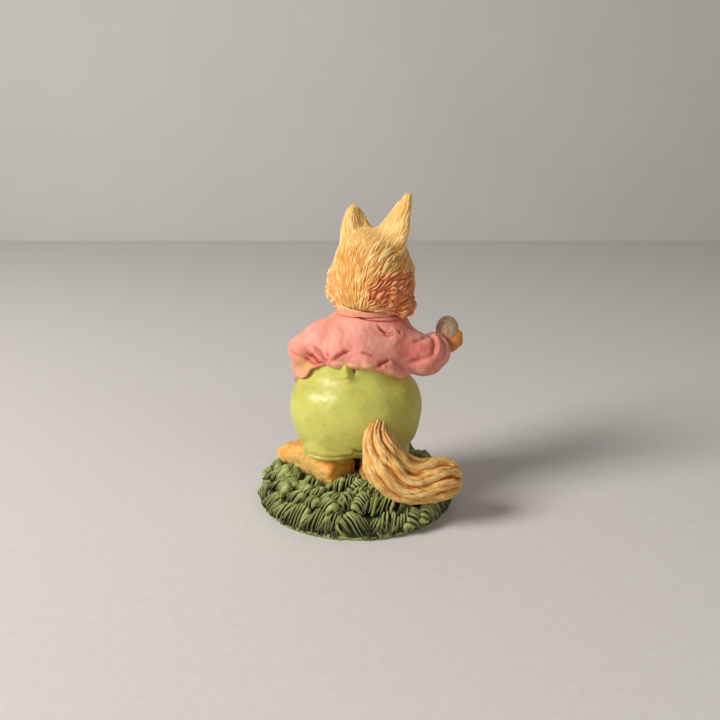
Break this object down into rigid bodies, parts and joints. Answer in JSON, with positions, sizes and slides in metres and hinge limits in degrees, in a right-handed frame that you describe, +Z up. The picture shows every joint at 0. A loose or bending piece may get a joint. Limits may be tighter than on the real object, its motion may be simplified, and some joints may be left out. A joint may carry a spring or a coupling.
{
  "type": "fox figurine",
  "caption": "Small painted resin fox in a short pink jacket and baggy green trousers, standing on a round grassy base and holding up an egg.",
  "frame": {"origin": "centre of the flat underside of the base", "axes": "+Z up from the base to the ears, -Y the way the fox's body faces, +X to the fox's left"},
  "size_m": [0.0459, 0.0446, 0.0695],
  "materials": {
    "grass_paint": "painted cast resin, dark green dry-brushed with sage",
    "boot_paint": "painted cast resin, satin orange",
    "trouser_paint": "painted cast resin, glossy lime",
    "jacket_paint": "painted cast resin, satin pink",
    "button_paint": "painted cast resin, brown",
    "shirt_paint": "painted cast resin, cream",
    "fur_paint": "painted cast resin, yellow orange with an orange wash",
    "ruff_paint": "painted cast resin, rust",
    "black_paint": "painted cast resin, glossy black",
    "paw_paint": "painted cast resin, orange",
    "egg_paint": "painted cast resin, streaked ivory",
    "tail_paint": "painted cast resin, peach with orange grooves"
  },
  "bodies": {
    "root": {"grassy_base": "grass_paint", "left_boot": "boot_paint", "right_boot": "boot_paint", "trousers": "trouser_paint", "jacket": "jacket_paint", "left_sleeve": "jacket_paint", "right_sleeve": "jacket_paint", "button_1": "button_paint", "button_2": "button_paint", "shirt_front": "shirt_paint", "neck": "shirt_paint", "head": "fur_paint", "left_ear": "fur_paint", "right_ear": "fur_paint", "muzzle": "fur_paint", "left_cheek_ruff": "ruff_paint", "right_cheek_ruff": "ruff_paint", "nose": "black_paint", "left_eye": "black_paint", "right_eye": "black_paint", "left_paw": "paw_paint", "right_paw": "paw_paint", "egg": "egg_paint", "tail": "tail_paint"}
  },
  "joints": []
}
